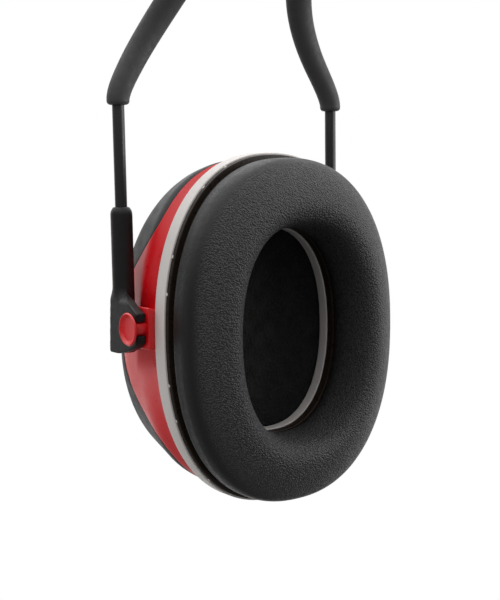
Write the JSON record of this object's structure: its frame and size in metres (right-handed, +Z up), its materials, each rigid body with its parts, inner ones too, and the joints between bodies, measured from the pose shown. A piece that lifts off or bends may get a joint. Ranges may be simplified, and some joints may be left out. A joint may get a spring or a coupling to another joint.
{
  "type": "earmuff hearing protector",
  "caption": "Over-the-head earmuff: oval ear cups with soft seals, hinged on yokes that slide on parallel wire headbands with moulded sleeves.",
  "frame": {"origin": "midway between the two ear openings, at their height: the middle of the wearer's head", "axes": "+Z up, +X to the wearer's left cup, the wearer looks along -Y"},
  "size_m": [0.257, 0.092, 0.2025],
  "materials": {
    "cover_plastic": "matt moulded black",
    "shell_plastic": "glossy red",
    "ring_plastic": "satin warm light grey",
    "plate_plastic": "satin brown black",
    "cushion_skin": "pebbled black artificial leather",
    "foam": "open cell black foam",
    "yoke_plastic": "satin black",
    "wire_insulation": "satin black",
    "band_overmould": "matt black",
    "spring_steel": "drawn"
  },
  "bodies": {
    "headband": {"front_wire": "spring_steel", "rear_wire": "spring_steel", "front_insulation": "wire_insulation", "rear_insulation": "wire_insulation", "front_sleeve": "band_overmould", "rear_sleeve": "band_overmould", "wire_end_stops": "spring_steel"},
    "right_front_slider": {"right_front_yoke": "yoke_plastic"},
    "right_rear_slider": {"right_rear_yoke": "yoke_plastic"},
    "right_cup": {"right_outer_cover": "cover_plastic", "right_cup_shell": "shell_plastic", "right_carrier_ring": "ring_plastic", "right_cushion_plate": "plate_plastic", "right_cushion": "cushion_skin", "right_cushion_foam": "foam", "right_liner_foam": "foam", "right_damping_foam": "foam", "right_front_pin": "shell_plastic", "right_rear_pin": "shell_plastic"},
    "left_front_slider": {"left_front_yoke": "yoke_plastic"},
    "left_rear_slider": {"left_rear_yoke": "yoke_plastic"},
    "left_cup": {"left_outer_cover": "cover_plastic", "left_cup_shell": "shell_plastic", "left_carrier_ring": "ring_plastic", "left_cushion_plate": "plate_plastic", "left_cushion": "cushion_skin", "left_cushion_foam": "foam", "left_liner_foam": "foam", "left_damping_foam": "foam", "left_front_pin": "shell_plastic", "left_rear_pin": "shell_plastic"}
  },
  "joints": [
    {"name": "right_height", "type": "slide", "parent": "headband", "child": "right_front_slider", "axis": [0, 0, 1], "range_m": [-0.005, 0.028]},
    {"name": "right_rear_height", "type": "slide", "parent": "headband", "child": "right_rear_slider", "axis": [0, 0, 1], "range_m": [-0.005, 0.028]},
    {"name": "right_tilt", "type": "hinge", "parent": "right_front_slider", "child": "right_cup", "pos_m": [-0.098, -0.042, 0.003], "axis": [0, 1, 0], "range_deg": [-14, 14]},
    {"name": "left_height", "type": "slide", "parent": "headband", "child": "left_front_slider", "axis": [0, 0, 1], "range_m": [-0.005, 0.028]},
    {"name": "left_rear_height", "type": "slide", "parent": "headband", "child": "left_rear_slider", "axis": [0, 0, 1], "range_m": [-0.005, 0.028]},
    {"name": "left_tilt", "type": "hinge", "parent": "left_front_slider", "child": "left_cup", "pos_m": [0.098, -0.042, 0.003], "axis": [0, 1, 0], "range_deg": [-14, 14]}
  ],
  "couplings": [
    {"joint": "right_rear_height", "follows": "right_height", "ratio": 1},
    {"joint": "left_rear_height", "follows": "left_height", "ratio": 1}
  ]
}
